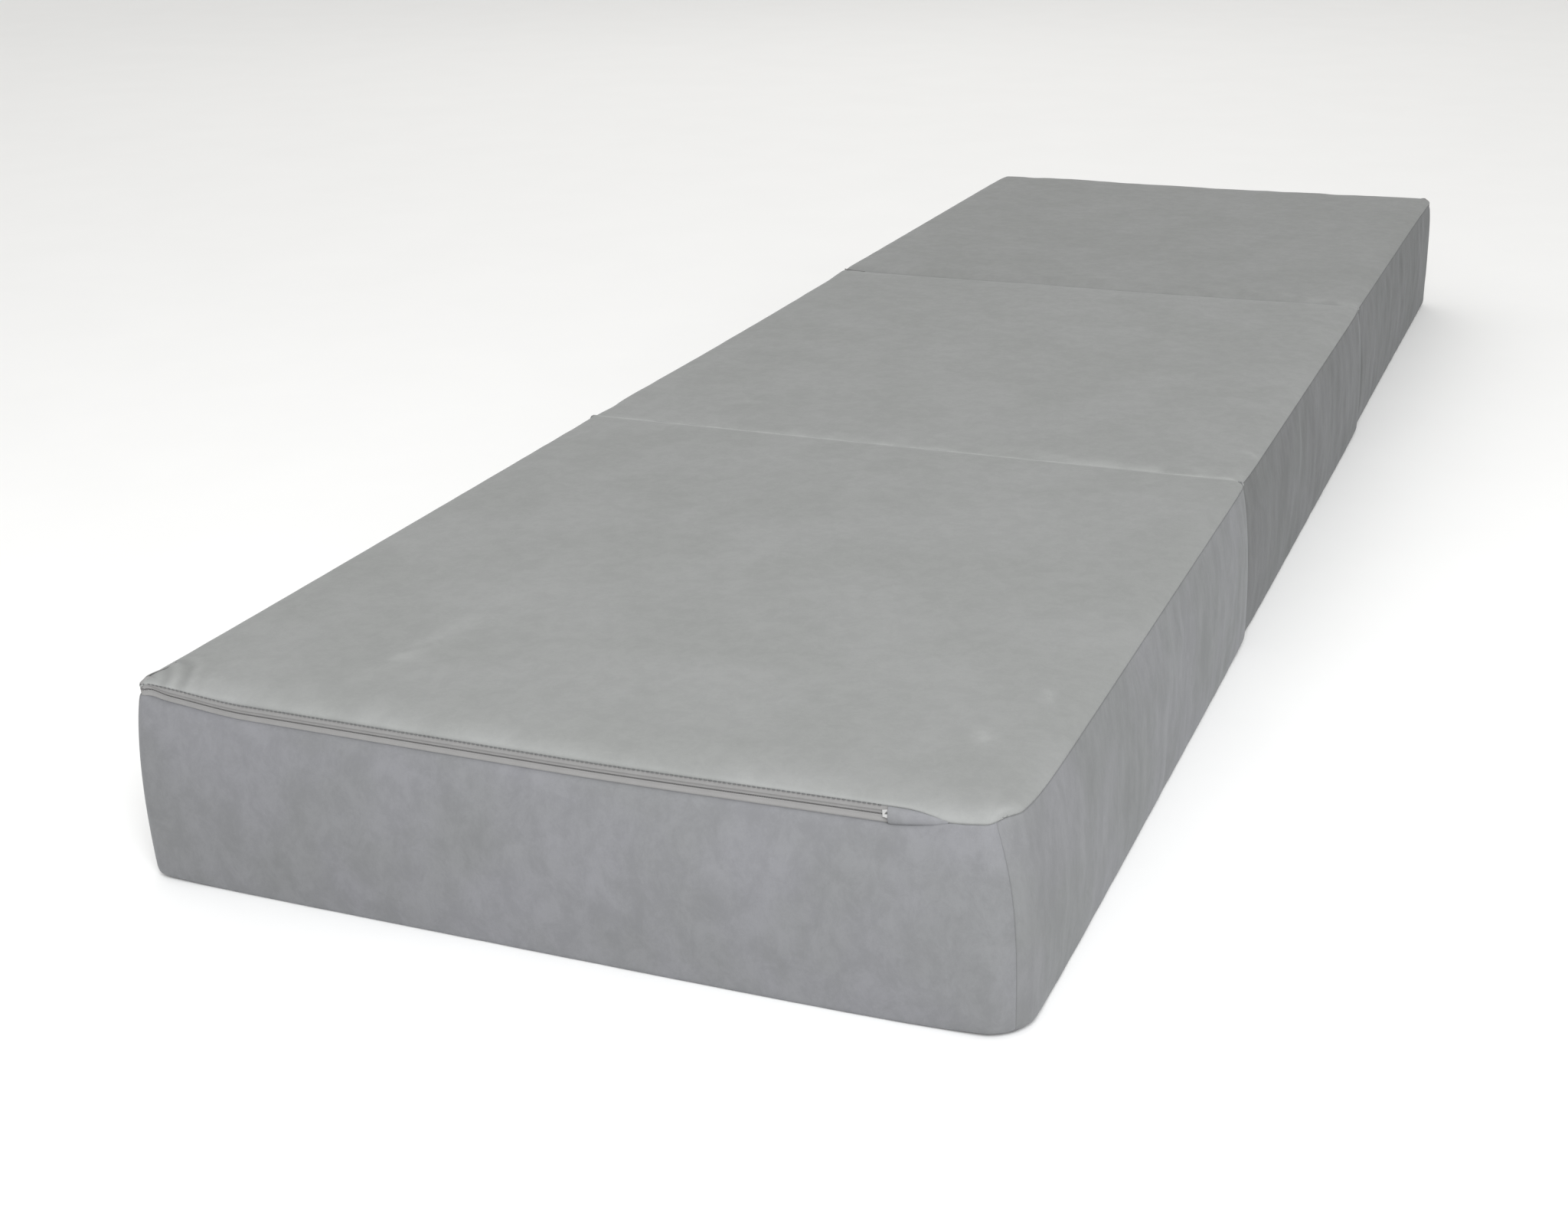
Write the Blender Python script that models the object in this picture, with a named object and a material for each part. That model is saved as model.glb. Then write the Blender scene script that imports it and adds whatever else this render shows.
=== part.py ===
"""Three-section folding pressure relief mattress.

Each section is a sewn fabric cover with a zip, filled with a firm base foam and a
soft pressure relief foam. Sewn seams join the sections: one along the top between
the foot and middle sections, and one along the bottom between the middle and head
sections, so the mattress folds into a flat stack of three.

The mattress lies along Y with its foot end at -Y, and rests on z = 0. All sizes
are in metres.
"""

import math

import bmesh
import bpy
from mathutils import Vector

# Whole mattress
WIDTH = 0.650
LENGTH = 1.950
HEIGHT = 0.156
FOLD_GAP = 0.002  # between the end walls of neighbouring sections
SECTIONS = ("foot", "middle", "head")
SECTION_LENGTH = (LENGTH - FOLD_GAP * (len(SECTIONS) - 1)) / len(SECTIONS)
SECTION_PITCH = SECTION_LENGTH + FOLD_GAP

# Cover and foam
CLOTH = 0.0012  # cover fabric with its backing
CLEAR = 0.0003  # between pieces that touch
FOAM_INSET = CLOTH + 2 * CLEAR
RELIEF_DEPTH = 0.050
COVER_LOW = CLOTH + CLEAR
COVER_HIGH = HEIGHT - CLOTH - CLEAR

# Sewn fold seams
SEAM_ALLOWANCE = 0.012
SEAM_THICK = 0.0006

# Zip, in the frame of its wall: X along it, Y inwards from its outer face, Z up
LIP = 0.005  # how far the top panel turns down over the zip
ZIP_BAND = 0.013
ZIP_TOP = HEIGHT - LIP - CLEAR
ZIP_LINE = ZIP_TOP - ZIP_BAND / 2
ZIP_START = -0.322
ZIP_END = 0.262
TAPE_FACE = 0.0062
TAPE_THICK = 0.0006
COIL_START = -0.318
COIL_END = 0.246
COIL_WIDE = 0.0015
COIL_THICK = 0.0012
NOTCH_END = 0.2805
FOAM_STEP = 0.0145  # below the zip's top edge

# Slider and pull, about the slider's centre
SLIDER_AT = 0.240
SLIDER_FACE = 0.0034
SLIDER_PLATE = 0.0010
SLIDER_BACK = TAPE_FACE - CLEAR
SLIDER_LENGTH = 0.0090
SLIDER_NOSE = 0.0048
SLIDER_WAIST = 0.0066
BAIL_HALF_LENGTH = 0.0025
BAIL_POST = 0.0006
BAIL_WIDE = 0.0014
BAIL_TOP = 0.0013
PULL_AXIS = 0.00265
PULL_THICK = 0.0006
PULL_LENGTH = 0.020
PULL_WIDE = 0.0050
PULL_EYE_LENGTH = 0.0032
PULL_EYE_WIDE = 0.0021
PULL_ARM = 0.0010  # width of each arm beside the eye
PULL_SHOULDER = 0.0020  # length over which the pull widens past the eye
PULL_BAR = 0.00045
PULL_TIP_STEPS = 8

# Zip garage
GARAGE_START = 0.2395
GARAGE_LENGTH = 0.040
GARAGE_THICK = 0.0008
GARAGE_OUT = 0.0001
GARAGE_DROP = 0.75  # share of its height that the upper edge falls towards the tip
GARAGE_RISE = 0.15  # share that the lower edge rises
GARAGE_STEPS = 10

# Walls of a section: turn about Z from the near wall, whose outer side faces -Y
WALLS = {"near": 0, "right": 90, "far": 180, "left": -90}
ZIP_WALLS = {"foot": "near", "middle": "left", "head": "far"}

# name: colour, roughness, metallic
FINISHES = {
    "suede": ((0.40, 0.41, 0.40), 0.90, 0.0),
    "relief_foam": ((0.78, 0.76, 0.66), 0.95, 0.0),
    "base_foam": ((0.62, 0.66, 0.70), 0.95, 0.0),
    "zip_tape": ((0.36, 0.36, 0.35), 0.80, 0.0),
    "zip_coil": ((0.22, 0.22, 0.23), 0.45, 0.0),
    "zip_metal": ((0.70, 0.70, 0.71), 0.30, 1.0),
    "seam_cloth": ((0.34, 0.34, 0.34), 0.90, 0.0),
}


def clear_scene():
    for thing in list(bpy.data.objects):
        bpy.data.objects.remove(thing, do_unlink=True)


def new_material(name, finish):
    """Each sub-part has a material of its own, in one of the shared finishes."""
    colour, roughness, metallic = FINISHES[finish]
    material = bpy.data.materials.new(name)
    material.use_nodes = True
    shader = material.node_tree.nodes["Principled BSDF"]
    shader.inputs["Base Color"].default_value = (*colour, 1.0)
    shader.inputs["Roughness"].default_value = roughness
    shader.inputs["Metallic"].default_value = metallic
    material.diffuse_color = (*colour, 1.0)
    return material


def new_empty(name, location=(0, 0, 0), turn=0.0, parent=None):
    empty = bpy.data.objects.new(name, None)
    empty.location = location
    empty.rotation_euler.z = math.radians(turn)
    empty.parent = parent
    bpy.context.collection.objects.link(empty)
    return empty


def prism(name, outline, axis, low, high, finish, parent, location=(0, 0, 0)):
    """A closed solid: a 2-D outline extruded along one axis.

    The outline's points are (y, z) for axis X, (x, z) for Y and (x, y) for Z.
    """
    direction = Vector([float(letter == axis) for letter in "XYZ"])
    kept = [i for i, letter in enumerate("XYZ") if letter != axis]
    bm = bmesh.new()
    corners = []
    for point in outline:
        corner = direction * low
        corner[kept[0]], corner[kept[1]] = point
        corners.append(bm.verts.new(corner))
    cap = bm.faces.new(corners)
    grown = bmesh.ops.extrude_face_region(bm, geom=[cap])["geom"]
    moved = [part for part in grown if isinstance(part, bmesh.types.BMVert)]
    bmesh.ops.translate(bm, verts=moved, vec=direction * (high - low))
    bmesh.ops.recalc_face_normals(bm, faces=bm.faces)
    mesh = bpy.data.meshes.new(name)
    bm.to_mesh(mesh)
    bm.free()
    solid = bpy.data.objects.new(name, mesh)
    solid.location = location
    solid.parent = parent
    bpy.context.collection.objects.link(solid)
    if finish:
        mesh.materials.append(new_material(name, finish))
    return solid


def rectangle(low_a, low_b, high_a, high_b):
    return [(low_a, low_b), (high_a, low_b), (high_a, high_b), (low_a, high_b)]


def boolean(solid, tool, operation):
    """Cuts or joins the tool, which is hidden and isn't a part of its own."""
    tool.hide_render = True
    tool.display_type = "WIRE"
    modifier = solid.modifiers.new(operation.lower(), "BOOLEAN")
    modifier.object = tool
    modifier.operation = operation
    modifier.solver = "EXACT"


def add_panel(section, side, low, frame):
    """The cover's flat top or bottom."""
    outline = rectangle(-WIDTH / 2, -SECTION_LENGTH / 2, WIDTH / 2, SECTION_LENGTH / 2)
    return prism(f"{section}_{side}_panel", outline, "Z", low, low + CLOTH, "suede", frame)


def add_lip(top_panel, zip_frame, half):
    """The top panel's edge, turned down as far as the zip."""
    outline = rectangle(0.0, HEIGHT - LIP, CLOTH, HEIGHT - CLOTH / 2)
    lip = prism(f"{top_panel.name}_lip", outline, "X", -half, half, None, zip_frame)
    boolean(top_panel, lip, "UNION")


def wall_size(wall):
    """How far a wall's outer face is from the section's centre, half the section's
    length along that wall, and half the border's own length."""
    if wall in ("near", "far"):
        return SECTION_LENGTH / 2, WIDTH / 2, WIDTH / 2
    return WIDTH / 2, SECTION_LENGTH / 2, SECTION_LENGTH / 2 - CLOTH - CLEAR


def border_outline(half, has_zip):
    """A wall's outline. A wall with a zip stops below the lip, and is cut away at the zip."""
    if not has_zip:
        return rectangle(-half, COVER_LOW, half, COVER_HIGH)
    notch_floor = ZIP_TOP - ZIP_BAND - CLEAR
    return [
        (-half, COVER_LOW),
        (half, COVER_LOW),
        (half, ZIP_TOP),
        (NOTCH_END, ZIP_TOP),
        (NOTCH_END, notch_floor),
        (-half, notch_floor),
    ]


def add_foams(section, zip_frame, depth, long_half):
    """The two foam layers. The upper one steps back behind the zip."""
    side = long_half - FOAM_INSET
    near, far = FOAM_INSET, 2 * depth - FOAM_INSET
    split = COVER_HIGH - RELIEF_DEPTH
    base = rectangle(near, COVER_LOW, far, split - CLEAR)
    prism(f"{section}_base_foam", base, "X", -side, side, "base_foam", zip_frame)
    step_back = TAPE_FACE + TAPE_THICK + CLEAR
    step_low = ZIP_TOP - FOAM_STEP
    relief = [
        (near, split),
        (far, split),
        (far, COVER_HIGH),
        (step_back, COVER_HIGH),
        (step_back, step_low),
        (near, step_low),
    ]
    prism(f"{section}_relief_foam", relief, "X", -side, side, "relief_foam", zip_frame)


def add_tapes_and_coils(section, zip_frame):
    """Both halves of the zip chain, either side of the zip line."""
    for half, way in (("upper", 1), ("lower", -1)):
        edge = ZIP_LINE + way * CLEAR / 2
        tape_edge = ZIP_LINE + way * ZIP_BAND / 2
        tape = rectangle(TAPE_FACE, edge, TAPE_FACE + TAPE_THICK, tape_edge)
        prism(f"{section}_zip_{half}_tape", tape, "X", ZIP_START, ZIP_END, "zip_tape", zip_frame)
        coil_back = TAPE_FACE - CLEAR
        coil = rectangle(coil_back - COIL_THICK, edge, coil_back, edge + way * COIL_WIDE)
        prism(f"{section}_zip_{half}_coil", coil, "X", COIL_START, COIL_END, "zip_coil", zip_frame)


def add_slider(section, zip_frame):
    """A channel that rides over the coils, with a bail for the pull on its face."""
    place = (SLIDER_AT, 0, ZIP_LINE)
    end = SLIDER_LENGTH / 2
    nose, waist = SLIDER_NOSE / 2, SLIDER_WAIST / 2
    shield = [(-end, -nose), (0, -waist), (end, -nose), (end, nose), (0, waist), (-end, nose)]
    name = f"{section}_zip_slider"
    slider = prism(name, shield, "Y", SLIDER_FACE, SLIDER_BACK, "zip_metal", zip_frame, place)
    room = COIL_WIDE + CLEAR / 2 + CLEAR
    channel = rectangle(SLIDER_FACE + SLIDER_PLATE, -room, 2 * SLIDER_BACK, room)
    cutter = prism(f"{name}_channel", channel, "X", -2 * end, 2 * end, None, zip_frame, place)
    boolean(slider, cutter, "DIFFERENCE")
    foot = SLIDER_FACE + SLIDER_PLATE / 2
    outer, inner = BAIL_HALF_LENGTH, BAIL_HALF_LENGTH - BAIL_POST
    under = BAIL_TOP + BAIL_POST
    arch = [
        (-outer, foot),
        (-outer, BAIL_TOP),
        (outer, BAIL_TOP),
        (outer, foot),
        (inner, foot),
        (inner, under),
        (-inner, under),
        (-inner, foot),
    ]
    wide = BAIL_WIDE / 2
    bail = prism(f"{name}_bail", arch, "Z", -wide, wide, None, zip_frame, place)
    boolean(slider, bail, "UNION")


def add_pull(section, zip_frame):
    """The pull tab. Its bar passes under the bail, and it turns about that bar."""
    place = (SLIDER_AT, PULL_AXIS, ZIP_LINE)
    wide = PULL_WIDE / 2
    neck = PULL_EYE_WIDE / 2 + PULL_ARM
    shoulder = PULL_EYE_LENGTH + PULL_SHOULDER
    tip = []
    for i in range(PULL_TIP_STEPS + 1):
        angle = math.pi * (i / PULL_TIP_STEPS - 0.5)
        tip.append((PULL_LENGTH - wide + wide * math.cos(angle), wide * math.sin(angle)))
    outline = [(-PULL_BAR, neck), (-PULL_BAR, -neck), (PULL_EYE_LENGTH, -neck), (shoulder, -wide)]
    outline += tip
    outline += [(shoulder, wide), (PULL_EYE_LENGTH, neck)]
    thick = PULL_THICK / 2
    name = f"{section}_zip_pull"
    pull = prism(name, outline, "Y", -thick, thick, "zip_metal", zip_frame, place)
    eye = rectangle(PULL_BAR, -PULL_EYE_WIDE / 2, PULL_EYE_LENGTH, PULL_EYE_WIDE / 2)
    cutter = prism(f"{name}_eye", eye, "Y", -wide, wide, None, zip_frame, place)
    boolean(pull, cutter, "DIFFERENCE")


def add_garage(section, zip_frame):
    """The fabric pocket over the closed end of the zip, tapering to a tip."""
    low = ZIP_TOP - ZIP_BAND
    upper, lower = [], []
    for i in range(GARAGE_STEPS + 1):
        along = i / GARAGE_STEPS
        x = GARAGE_START + GARAGE_LENGTH * along
        upper.append((x, low + ZIP_BAND * (1 - GARAGE_DROP * along**2)))
        lower.append((x, low + ZIP_BAND * GARAGE_RISE * along**2))
    outline = upper + lower[::-1]
    outer, inner = GARAGE_OUT, GARAGE_OUT + GARAGE_THICK
    prism(f"{section}_zip_garage", outline, "Y", outer, inner, "suede", zip_frame)


def add_section(section, centre):
    frame = new_empty(f"{section}_frame", (0, centre, 0))
    add_panel(section, "bottom", 0.0, frame)
    top_panel = add_panel(section, "top", HEIGHT - CLOTH, frame)
    for wall, turn in WALLS.items():
        depth, long_half, half = wall_size(wall)
        outward = Vector((math.sin(math.radians(turn)), -math.cos(math.radians(turn)), 0))
        wall_frame = new_empty(f"{section}_{wall}_wall", outward * depth, turn, frame)
        has_zip = ZIP_WALLS[section] == wall
        outline = border_outline(half, has_zip)
        prism(f"{section}_{wall}_border", outline, "Y", 0.0, CLOTH, "suede", wall_frame)
        if has_zip:
            add_lip(top_panel, wall_frame, half)
            add_foams(section, wall_frame, depth, long_half)
            add_tapes_and_coils(section, wall_frame)
            add_slider(section, wall_frame)
            add_pull(section, wall_frame)
            add_garage(section, wall_frame)


def add_fold_seam(name, fold_y, low):
    """A seam allowance that stands in the gap between two sections."""
    frame = new_empty(f"{name}_line", (0, fold_y, 0))
    half = WIDTH / 2 - CLOTH
    outline = rectangle(-SEAM_THICK / 2, low, SEAM_THICK / 2, low + SEAM_ALLOWANCE)
    prism(name, outline, "X", -half, half, "seam_cloth", frame)


def main():
    clear_scene()
    for place, section in enumerate(SECTIONS):
        add_section(section, (place - 1) * SECTION_PITCH)
    add_fold_seam("top_fold_seam", -SECTION_PITCH / 2, HEIGHT - SEAM_ALLOWANCE - CLEAR)
    add_fold_seam("bottom_fold_seam", SECTION_PITCH / 2, CLEAR)


main()
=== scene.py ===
"""Looks of the folding pressure relief mattress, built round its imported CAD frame.

Each section's cover is a skin of sewn panels over foam. Every panel is worked out on a
grid: its seams are placed from the CAD boxes, the faces between them are rounded, the
cloth is settled by a simulation under light pressure, and the creases of the real
cover are pressed in afterwards. All sizes are in metres, in the CAD model's frame.
"""

import math
from dataclasses import dataclass

import bpy
import numpy as np
from mathutils import Matrix, Vector


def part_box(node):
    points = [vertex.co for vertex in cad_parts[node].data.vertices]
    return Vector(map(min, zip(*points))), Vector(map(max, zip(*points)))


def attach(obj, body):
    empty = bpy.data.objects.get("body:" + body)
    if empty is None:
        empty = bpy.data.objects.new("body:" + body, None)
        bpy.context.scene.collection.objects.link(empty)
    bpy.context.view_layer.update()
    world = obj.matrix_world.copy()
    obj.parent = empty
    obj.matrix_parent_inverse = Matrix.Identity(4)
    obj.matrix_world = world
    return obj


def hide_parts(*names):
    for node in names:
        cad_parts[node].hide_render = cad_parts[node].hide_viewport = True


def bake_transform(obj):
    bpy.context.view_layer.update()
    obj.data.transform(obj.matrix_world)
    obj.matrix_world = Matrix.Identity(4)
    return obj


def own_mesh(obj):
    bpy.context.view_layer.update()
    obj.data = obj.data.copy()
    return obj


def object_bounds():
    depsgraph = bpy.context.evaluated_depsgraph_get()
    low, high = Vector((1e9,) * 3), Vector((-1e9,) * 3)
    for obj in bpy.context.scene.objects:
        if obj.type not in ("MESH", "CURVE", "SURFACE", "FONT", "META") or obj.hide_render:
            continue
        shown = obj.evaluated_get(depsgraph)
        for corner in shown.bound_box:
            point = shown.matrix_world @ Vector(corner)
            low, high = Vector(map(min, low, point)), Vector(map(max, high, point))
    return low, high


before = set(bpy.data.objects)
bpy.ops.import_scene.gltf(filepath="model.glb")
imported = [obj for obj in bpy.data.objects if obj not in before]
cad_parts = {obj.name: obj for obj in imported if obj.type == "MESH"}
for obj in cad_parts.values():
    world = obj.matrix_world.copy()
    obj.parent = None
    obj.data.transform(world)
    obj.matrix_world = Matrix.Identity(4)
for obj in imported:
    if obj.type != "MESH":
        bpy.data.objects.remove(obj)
cad_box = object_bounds()

SECTIONS = ("foot", "middle", "head")
WALLS = ("near", "right", "far", "left")
ZIP_WALL = {"foot": "near", "middle": "left", "head": "far"}
OUTWARD = {"near": (0, -1), "right": (1, 0), "far": (0, 1), "left": (-1, 0)}
ALONG = {"near": (1, 0), "right": (0, 1), "far": (-1, 0), "left": (0, -1)}

HEIGHT = cad_box[1].z
CLOTH = 0.0012  # the cover's thickness
SEAM_HEIGHT = HEIGHT - 0.0062  # of the top seam, where no zip or fold changes it
ROLL_RUN = 0.015  # how far in from the seam the top panel turns flat
SEAM_TUCK = 0.0004  # how far in a plain seam lies
CORNER_RADIUS = 0.017
FOOT_LEFT_RADIUS = 0.006  # where the foot zip goes round the corner
FOOT_RIGHT_RADIUS = 0.023
TOP_FOLD_RADIUS = 0.003  # of a section's upright corners at the fold it is sewn to on top
LOW_FOLD_RADIUS = 0.005

# Zip, in the frame of its wall: u along it, z up
ZIP_HIGH = HEIGHT - 0.0053
ZIP_LOW = HEIGHT - 0.0183
ZIP_LINE = (ZIP_HIGH + ZIP_LOW) / 2
ZIP_TUCK = 0.0036  # how far in both cloth edges lie beside the zip
ZIP_WRAP = 0.03  # how far the opening runs on round the corner, narrowing over its last two thirds
ZIP_SAG = 0.0055  # how far the cloth lets the zip droop between its two ends
ZIP_CORNER_RISE = 0.003  # and lifts it at its first corner
ZIP_OPEN_END = -0.295  # where the slider stops when it is open
TAPE_START = -0.358
TAPE_END = 0.262
TAPE_DEPTH = 0.0047  # between the slider's two plates
ZIP_CORNER_LIFT = 0.0031  # how far out the tape and the cloth's edges come at its first corner
GARAGE_START = 0.2395
GARAGE_END = 0.2795
SEAM_AT_TIP = HEIGHT - 0.0094  # the plain seam's height at the garage's tip
SEAM_AT_CORNER = HEIGHT - 0.0077

FOAM_CELL = 0.014  # of the foam blocks' surfaces
SIM_CELL = 0.02
SIM_FRAMES = 20
SIM_PRESSURE = 4.0
TOP_CAP = 0.0011  # how far the simulation may move a point
WALL_CAP = 0.0022
TOP_RISE = 0.0014  # the tops stay below this, so that two of them fold together


# --- Camera, light and stage


def link(name, data):
    made = bpy.data.objects.new(name, data)
    bpy.context.collection.objects.link(made)
    return made


def make_camera():
    """At the photo's viewing angle: turned left, tilted down, and rolled a little."""
    yaw, pitch, roll = (math.radians(a) for a in (-20.07, 21.08, -0.76))
    forward = np.array([math.sin(yaw) * math.cos(pitch), math.cos(yaw) * math.cos(pitch), -math.sin(pitch)])
    level = np.array([math.cos(yaw), -math.sin(yaw), 0.0])
    raised = np.cross(level, forward)
    right = math.cos(roll) * level + math.sin(roll) * raised
    up = math.cos(roll) * raised - math.sin(roll) * level
    data = bpy.data.cameras.new("camera")
    data.sensor_width = 36.0
    data.lens = 46.74
    data.shift_x = -0.101
    data.shift_y = -0.0364
    data.clip_end = 100.0
    camera = link("camera", data)
    turned = Matrix([right.tolist(), up.tolist(), (-forward).tolist()]).transposed().to_4x4()
    camera.matrix_world = Matrix.Translation((0.654, -2.003, 0.748)) @ turned
    bpy.context.scene.camera = camera


def add_area_light(name, place, target, size, power, colour):
    data = bpy.data.lights.new(name, "AREA")
    data.shape = "DISK"
    data.size = size
    data.energy = power
    data.color = colour
    light = link(name, data)
    light.location = place
    light.rotation_mode = "QUATERNION"
    light.rotation_quaternion = (Vector(target) - Vector(place)).to_track_quat("-Z", "Y")


def make_studio():
    """Even white light from all round, with a soft key from in front and to the right."""
    world = bpy.data.worlds.new("studio")
    bpy.context.scene.world = world
    world.use_nodes = True
    background = world.node_tree.nodes["Background"]
    background.inputs["Color"].default_value = (1.0, 0.995, 0.975, 1.0)
    background.inputs["Strength"].default_value = 0.8
    add_area_light("key", (1.3, -2.9, 2.4), (0.0, -0.7, 0.1), 1.8, 100.0, (0.97, 0.985, 1.0))
    add_area_light("rear_fill", (-1.5, 3.4, 3.0), (0.0, 0.4, 0.1), 2.6, 15.0, (1.0, 0.98, 0.95))
    bpy.context.scene.view_settings.view_transform = "Standard"


def make_floor():
    """A large pale disc, fine enough near its middle to be a smooth round floor."""
    rings, spokes, reach = 12, 96, 30.0
    points = [np.zeros((1, 3))]
    for ring in range(1, rings + 1):
        points.append(np.pad(reach * (ring / rings) ** 2 * circle(spokes), ((0, 0), (0, 1))))
    faces = [(0, 1 + i, 1 + (i + 1) % spokes) for i in range(spokes)]
    for ring in range(rings - 1):
        a, b = 1 + ring * spokes, 1 + (ring + 1) * spokes
        faces += [(a + i, b + i, b + (i + 1) % spokes, a + (i + 1) % spokes) for i in range(spokes)]
    shader = Shader("studio_floor")
    grain = shader.noise(shader.place(), 6.0, 3.0)
    shader.set("Base Color", shader.mix(grain, (0.86, 0.86, 0.86), (0.89, 0.89, 0.89)))
    shader.set("Roughness", 0.7)
    new_object("floor", np.concatenate(points), faces, shader.material)


# --- Materials


class Shader:
    """A material's nodes, round its Principled BSDF."""

    def __init__(self, name):
        self.material = bpy.data.materials.new(name)
        self.material.use_nodes = True
        self.nodes = self.material.node_tree.nodes
        self.links = self.material.node_tree.links
        self.bsdf = self.nodes["Principled BSDF"]

    def plug(self, socket, value):
        if isinstance(value, bpy.types.NodeSocket):
            self.links.new(value, socket)
        elif isinstance(value, tuple) and len(value) == 3 and socket.type == "RGBA":
            socket.default_value = (*value, 1.0)
        else:
            socket.default_value = value

    def set(self, name, value):
        self.plug(self.bsdf.inputs[name], value)

    def add(self, kind, output, inputs=(), **settings):
        node = self.nodes.new(f"ShaderNode{kind}")
        for name, value in settings.items():
            setattr(node, name, value)
        for key, value in dict(inputs).items():
            self.plug(node.inputs[key], value)
        return node.outputs[output]

    def place(self, scale=(1, 1, 1), turn=(0, 0, 0)):
        """The object's own coordinates, in metres, stretched and turned."""
        own = self.add("TexCoord", "Object")
        return self.add("Mapping", "Vector", {"Vector": own, "Scale": scale, "Rotation": turn})

    def noise(self, where, scale, detail=4.0, roughness=0.55, distortion=0.0):
        inputs = {"Vector": where, "Scale": scale, "Detail": detail, "Roughness": roughness,
                  "Distortion": distortion}
        return self.add("TexNoise", "Fac", inputs)

    def math(self, operation, a, b=0.0):
        return self.add("Math", "Value", {0: a, 1: b}, operation=operation)

    def spread(self, value, low, high, to_low=0.0, to_high=1.0):
        """Maps low to high onto another range, smoothly and held at both ends."""
        inputs = {"Value": value, "From Min": low, "From Max": high, "To Min": to_low, "To Max": to_high}
        return self.add("MapRange", "Result", inputs, interpolation_type="SMOOTHSTEP")

    def mix(self, factor, a, b, blend="MIX"):
        return self.add("Mix", 2, {0: factor, 6: a, 7: b}, data_type="RGBA", blend_type=blend)

    def times(self, tone, value):
        return self.mix(1.0, tone, value, "MULTIPLY")

    def named(self, attribute):
        return self.add("Attribute", "Fac", attribute_name=attribute)

    def spot(self, centre, size, turn=0.0):
        """A soft oval patch, 1 at its middle and 0 outside."""
        own = self.add("TexCoord", "Object")
        moved = self.add("Mapping", "Vector", {"Vector": own, "Location": centre, "Rotation": (0, 0, turn),
                                               "Scale": size}, vector_type="TEXTURE")
        ball = self.add("TexGradient", "Fac", {"Vector": moved}, gradient_type="SPHERICAL")
        return self.spread(ball, 0.0, 1.0)

    def bump(self, height, distance, strength=1.0, under=None):
        inputs = {"Height": height, "Distance": distance, "Strength": strength}
        if under is not None:
            inputs["Normal"] = under
        return self.add("Bump", "Normal", inputs)

    def done(self, colour, roughness, normal):
        for name, value in (("Base Color", colour), ("Roughness", roughness), ("Normal", normal)):
            self.set(name, value)
        return self.material


def scaled(colour, share):
    return tuple(share * c for c in colour)


def suede(name, colour, cool, cloudy=0.022, mottled=0.05, grain=(1, 1, 1), streaks=0.0, patches=()):
    """Short-pile suede-like knit. colour is its mean and cool the tint of its clouds.

    cloudy and mottled are the strengths of its large and small unevenness, and grain
    stretches the small one along the way the cloth was brushed. patches are (centre,
    size, turn, strength) paler marks: partly pile that lies the other way, partly painted
    highlight where the cloth rises towards the light. The point values are edge, the
    distance from the nearest seam, within a millimetre of which the cloth is painted
    darker as painted shade in the seam, and a signed value by which it is painted
    paler (above 0) or darker: partly the way its pile is brushed, partly painted light
    and shade on rolled edges, folds and creases.
    """
    shader = Shader(name)
    where = shader.place()
    clouds = shader.spread(shader.noise(where, 11.0, 3.0, 0.5, 0.3), 0.32, 0.68)
    mottle = shader.spread(shader.noise(shader.place(grain), 62.0, 8.0, 0.8, 0.3), 0.28, 0.72)
    tone = shader.mix(clouds, scaled(colour, 1 - cloudy), scaled(cool, 1 + cloudy))
    tone = shader.times(tone, shader.spread(mottle, 0.0, 1.0, 1 + mottled, 1 - mottled))
    if streaks:
        brushed = shader.noise(shader.place((95.0, 95.0, 3.2)), 1.0, 4.0, 0.6, 0.2)
        tone = shader.times(tone, shader.spread(brushed, 0.35, 0.75, 1 - streaks, 1 + streaks))
    # Pale marks: painted highlight where the cloth rises, with pile lying the other way in them.
    for centre, size, turn, strength in patches:
        mark = shader.spot(centre, size, turn)
        rough_edge = shader.spread(shader.noise(where, 60.0, 4.0, 0.6), 0.25, 0.65)
        mark = shader.math("MULTIPLY", shader.math("MULTIPLY", mark, rough_edge), strength)
        tone = shader.mix(mark, tone, scaled(cool, 1.35))
    # Painted light and shade, partly the pile's lie: paler or darker by the point value set for each panel.
    tone = shader.times(tone, shader.math("ADD", shader.math("MULTIPLY", shader.named("lay"), 0.25), 1.0))
    # Painted shade in the seams: the cloth darkens within a millimetre of each seam.
    painted_seam_shade = shader.spread(shader.named("edge"), 0.0009, 0.0002, 0.0, 0.22)
    tone = shader.mix(painted_seam_shade, tone, scaled(colour, 0.5))
    fibre = shader.noise(where, 1500.0, 3.0, 0.7)
    tone = shader.mix(shader.spread(fibre, 0.3, 0.7, 0.0, 0.12), tone, scaled(colour, 0.78))
    shader.set("Sheen Weight", 0.11)
    shader.set("Sheen Roughness", 0.42)
    shader.set("Sheen Tint", (0.93, 0.96, 1.0))
    shader.set("Specular IOR Level", 0.22)
    nap = shader.bump(shader.noise(where, 420.0, 3.0, 0.6), 0.00022, 0.55)
    rough = shader.spread(mottle, 0.0, 1.0, 0.8, 0.93)
    return shader.done(tone, rough, shader.bump(fibre, 0.00012, 0.6, nap))


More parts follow.
